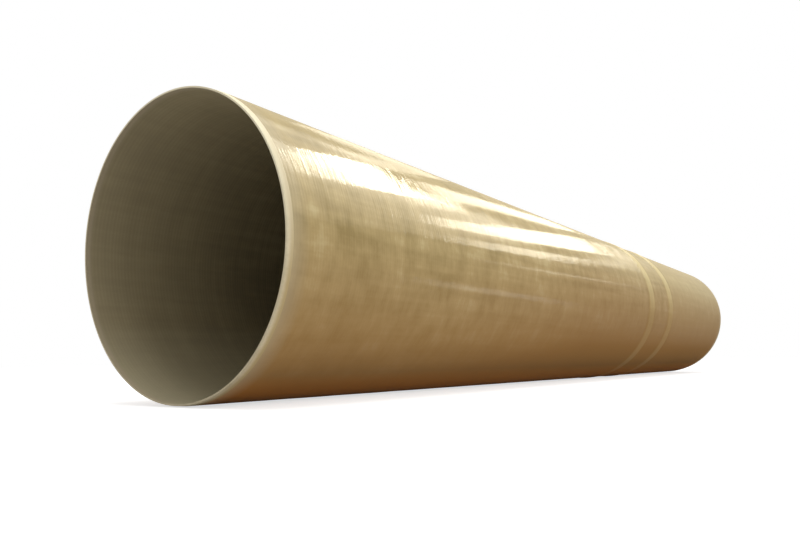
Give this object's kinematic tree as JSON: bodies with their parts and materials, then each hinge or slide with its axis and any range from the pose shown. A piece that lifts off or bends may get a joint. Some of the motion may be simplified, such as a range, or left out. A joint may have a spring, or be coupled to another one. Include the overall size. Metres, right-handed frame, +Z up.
{
  "type": "fiberglass pipe",
  "caption": "Long thin-walled round pipe of filament-wound fiberglass, open through, with ends bevelled on the outside and low wound hoops towards one end.",
  "frame": {"origin": "middle of the pipe's length, under its axis, at floor level", "axes": "+X along the pipe's axis towards the end that is nearer the wound hoops, +Z up"},
  "size_m": [6, 1.0218, 1.0218],
  "materials": {
    "fiberglass": "glossy resin coat over wound glass roving, khaki"
  },
  "bodies": {
    "root": {"pipe": "fiberglass"}
  },
  "joints": []
}
